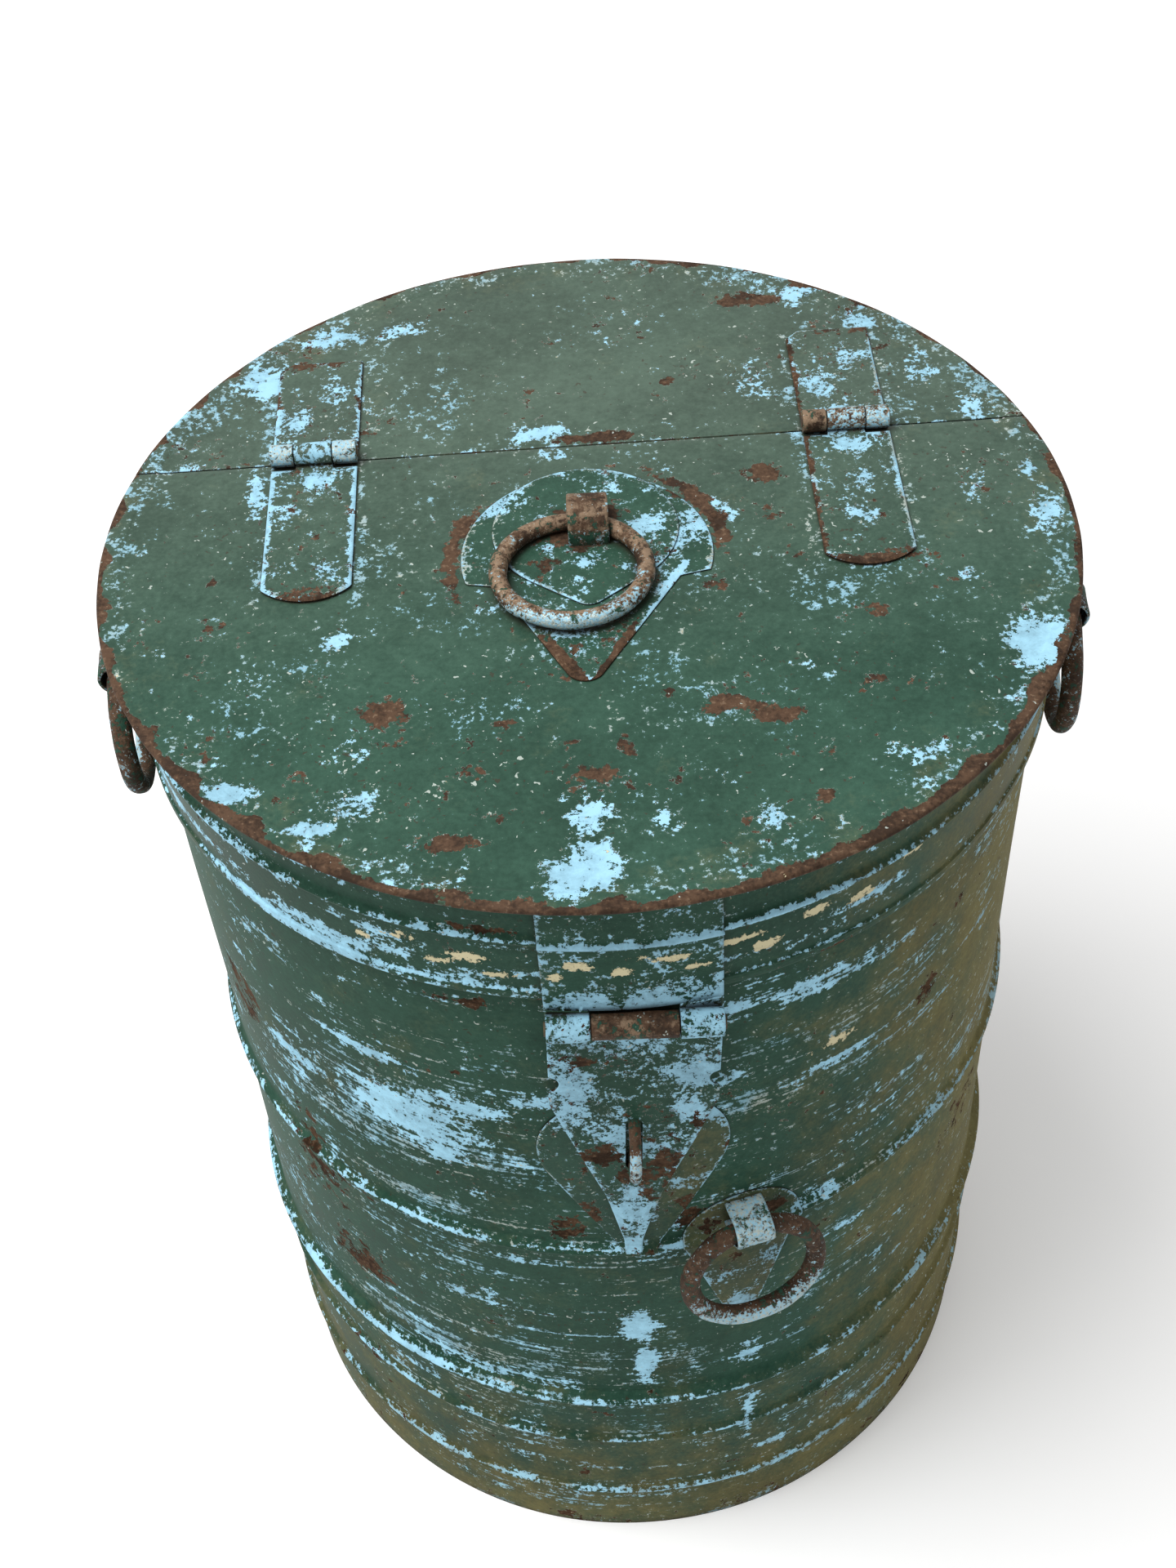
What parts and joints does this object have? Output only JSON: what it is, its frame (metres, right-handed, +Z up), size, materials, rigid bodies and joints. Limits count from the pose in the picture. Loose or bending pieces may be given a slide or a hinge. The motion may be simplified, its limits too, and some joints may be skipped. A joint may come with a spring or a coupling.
{
  "type": "storage drum",
  "caption": "Sheet-iron storage drum with a split round top: hinged front lid with skirt, hasp and staple, and loose ring handles.",
  "frame": {"origin": "centre of the drum's foot, on the surface it stands on", "axes": "+Z up along the drum's axis; -Y to the front, where the hasp is; +X to the viewer's right"},
  "size_m": [0.5216, 0.511, 0.6804],
  "materials": {
    "wall_paint": "chipped and streaked green paint over pale blue paint and rust",
    "top_paint": "greyed green paint, chipped",
    "lid_paint": "green paint, chipped to pale blue and rust along the rim",
    "hasp_paint": "green paint rubbed through to pale blue and bare iron",
    "worn_rod": "rubbed paint over rusty iron rod",
    "worn_clip": "rubbed paint over rusty iron strip",
    "bare_rust": "bare rusty iron"
  },
  "bodies": {
    "drum": {"body_shell": "wall_paint", "base_disc": "bare_rust", "fixed_top": "top_paint", "rear_collar": "wall_paint", "hinge_left_top_leaf": "top_paint", "hinge_left_pin": "bare_rust", "hinge_right_top_leaf": "top_paint", "hinge_right_pin": "bare_rust", "hasp_backing_plate": "wall_paint", "hasp_staple": "worn_rod", "ring_left_plate": "wall_paint", "ring_left_clip": "worn_clip", "ring_right_plate": "wall_paint", "ring_right_clip": "worn_clip", "ring_front_plate": "wall_paint", "ring_front_clip": "worn_clip"},
    "lid": {"lid_sheet": "lid_paint", "lid_collar": "wall_paint", "hinge_left_lid_leaf": "lid_paint", "hinge_right_lid_leaf": "lid_paint", "lid_ring_plate": "lid_paint", "lid_ring_inner_plate": "lid_paint", "lid_ring_clip": "worn_clip", "hasp_plate": "hasp_paint", "hasp_pin": "bare_rust"},
    "hasp": {"hasp_strap": "hasp_paint"},
    "lid_handle": {"lid_ring": "worn_rod"},
    "left_handle": {"ring_left": "worn_rod"},
    "right_handle": {"ring_right": "worn_rod"},
    "front_handle": {"ring_front": "worn_rod"}
  },
  "joints": [
    {"name": "lid_hinge", "type": "hinge", "parent": "drum", "child": "lid", "pos_m": [0, 0.0728, 0.6655], "axis": [-1, 0, 0], "range_deg": [0, 165]},
    {"name": "hasp_swing", "type": "hinge", "parent": "lid", "child": "hasp", "pos_m": [0.008, -0.2455, 0.57], "axis": [-0.9994, 0, 0.0349], "range_deg": [0, 165]},
    {"name": "lid_ring_swing", "type": "hinge", "parent": "lid", "child": "lid_handle", "pos_m": [0.0015, 0.002, 0.6664], "axis": [1, 0, 0], "range_deg": [-170, 0]},
    {"name": "left_ring_swing", "type": "hinge", "parent": "drum", "child": "left_handle", "pos_m": [-0.25029, -0.0175, 0.604], "axis": [-0.0698, 0.9976, 0], "range_deg": [0, 165]},
    {"name": "right_ring_swing", "type": "hinge", "parent": "drum", "child": "right_handle", "pos_m": [0.25029, -0.0175, 0.604], "axis": [-0.0698, -0.9976, 0], "range_deg": [0, 165]},
    {"name": "front_ring_swing", "type": "hinge", "parent": "drum", "child": "front_handle", "pos_m": [0.06398, -0.23878, 0.374], "axis": [-0.9659, -0.2588, 0], "range_deg": [-8, 157]}
  ]
}
